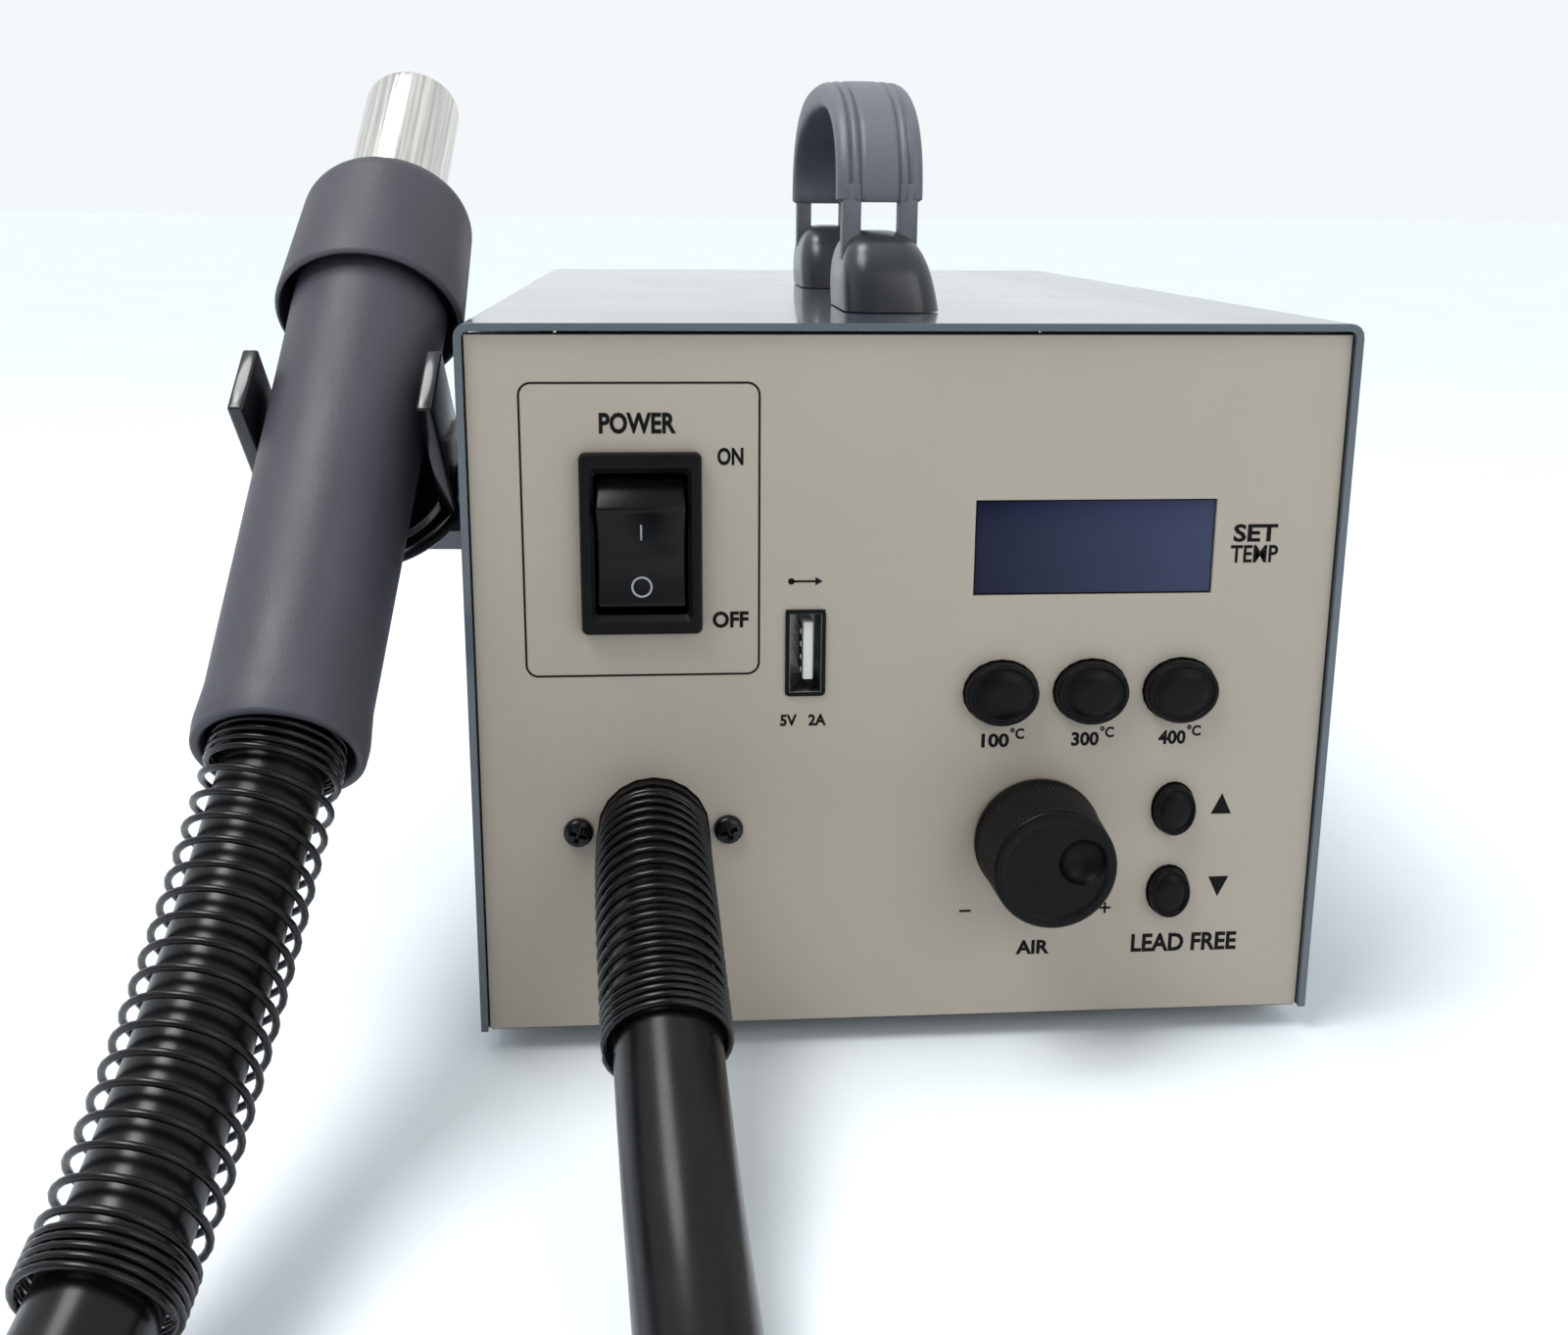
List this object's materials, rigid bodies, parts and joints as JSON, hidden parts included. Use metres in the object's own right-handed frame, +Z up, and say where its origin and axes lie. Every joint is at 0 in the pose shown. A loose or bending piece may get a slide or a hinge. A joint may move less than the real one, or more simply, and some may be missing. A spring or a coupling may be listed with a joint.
{
  "type": "hot-air rework station",
  "caption": "Bench hot-air soldering station: steel case with front controls and carry handle, hot-air gun in a side holder, and a guarded air hose between them.",
  "frame": {"origin": "middle of the footprint of the station without its hose, on the bench", "axes": "+Z up, -Y out of the front panel, +X to the right seen from the front"},
  "size_m": [0.2884, 0.628, 0.2175],
  "materials": {
    "panel_paint": "satin greige paint",
    "cover_paint": "glossy blue-grey paint",
    "chassis_steel": "zinc-plated sheet",
    "black_plastic": "glossy black moulding",
    "grey_plastic": "matte dark grey moulding",
    "rubber": "matte black",
    "hose_rubber": "smooth glossy black",
    "guard_wire": "black coated spring wire",
    "steel": "bright drawn tube",
    "black_screw": "black oxide",
    "white_plastic": "white moulding",
    "display_glass": "dark blue display window, unlit",
    "circuit_board": "green laminate",
    "ceramic": "white ceramic",
    "copper_and_iron": "laminated core with copper windings",
    "brass": "turned brass"
  },
  "bodies": {
    "station": {"base_chassis": "chassis_steel", "front_panel": "panel_paint", "top_cover": "cover_paint", "cover_screw_1": "black_screw", "cover_screw_2": "black_screw", "cover_screw_3": "black_screw", "cover_screw_4": "black_screw", "outlet_screw_1": "black_screw", "outlet_screw_2": "black_screw", "foot_1": "rubber", "foot_2": "rubber", "foot_3": "rubber", "foot_4": "rubber", "handle_foot_front": "black_plastic", "handle_foot_rear": "black_plastic", "handle_grip": "grey_plastic", "switch_housing": "black_plastic", "usb_shell": "steel", "usb_tongue": "white_plastic", "display_window": "display_glass", "display_module": "black_plastic", "control_board": "circuit_board", "switch_under_100": "white_plastic", "switch_under_300": "white_plastic", "switch_under_400": "white_plastic", "switch_under_up": "white_plastic", "switch_under_down": "white_plastic", "air_potentiometer": "chassis_steel", "air_nut": "brass", "hose_outlet": "black_plastic", "blower_volute": "grey_plastic", "blower_motor": "steel", "transformer": "copper_and_iron", "power_board": "circuit_board", "heat_sink": "chassis_steel", "mains_inlet": "black_plastic", "holder_fork": "black_plastic", "holder_bracket": "grey_plastic", "holder_screw_1": "black_screw", "holder_screw_2": "black_screw", "holder_pivot": "black_screw", "air_hose": "hose_rubber", "spring_guard_panel": "guard_wire", "spring_guard_gun": "guard_wire"},
    "power_rocker": {"power_rocker": "black_plastic"},
    "air_knob": {"air_knob": "black_plastic", "air_shaft": "steel"},
    "impeller": {"blower_impeller": "white_plastic"},
    "fuse_drawer": {"fuse_drawer": "grey_plastic"},
    "gun": {"gun_body": "grey_plastic", "gun_collar": "grey_plastic", "nozzle_tube": "steel", "heater_core": "ceramic", "gun_tail": "black_plastic"},
    "button_100": {"button_100": "black_plastic"},
    "button_300": {"button_300": "black_plastic"},
    "button_400": {"button_400": "black_plastic"},
    "button_up": {"button_up": "black_plastic"},
    "button_down": {"button_down": "black_plastic"}
  },
  "joints": [
    {"name": "power_rocker_tilt", "type": "hinge", "parent": "station", "child": "power_rocker", "pos_m": [-0.03177, -0.11899, 0.1157], "axis": [-1, 0, 0], "range_deg": [0, 18]},
    {"name": "air_knob_turn", "type": "hinge", "parent": "station", "child": "air_knob", "pos_m": [0.05423, -0.12299, 0.0486], "axis": [0, 1, 0], "range_deg": [-202, 68]},
    {"name": "blower_spin", "type": "hinge", "parent": "station", "child": "impeller", "pos_m": [-0.02998, -0.04649, 0.0761], "axis": [1, 0, 0], "continuous": true},
    {"name": "fuse_drawer_slide", "type": "slide", "parent": "station", "child": "fuse_drawer", "axis": [0, 1, 0], "range_m": [0, 0.012]},
    {"name": "gun_lift", "type": "slide", "parent": "station", "child": "gun", "axis": [0.0454, 0.7647, 0.6428], "range_m": [0, 0.06], "deforming": ["air_hose", "spring_guard_gun"]},
    {"name": "button_100_press", "type": "slide", "parent": "station", "child": "button_100", "axis": [0, 1, 0], "range_m": [0, 0.0015], "stiffness_N_per_m": 400},
    {"name": "button_300_press", "type": "slide", "parent": "station", "child": "button_300", "axis": [0, 1, 0], "range_m": [0, 0.0015], "stiffness_N_per_m": 400},
    {"name": "button_400_press", "type": "slide", "parent": "station", "child": "button_400", "axis": [0, 1, 0], "range_m": [0, 0.0015], "stiffness_N_per_m": 400},
    {"name": "button_up_press", "type": "slide", "parent": "station", "child": "button_up", "axis": [0, 1, 0], "range_m": [0, 0.0015], "stiffness_N_per_m": 400},
    {"name": "button_down_press", "type": "slide", "parent": "station", "child": "button_down", "axis": [0, 1, 0], "range_m": [0, 0.0015], "stiffness_N_per_m": 400}
  ]
}
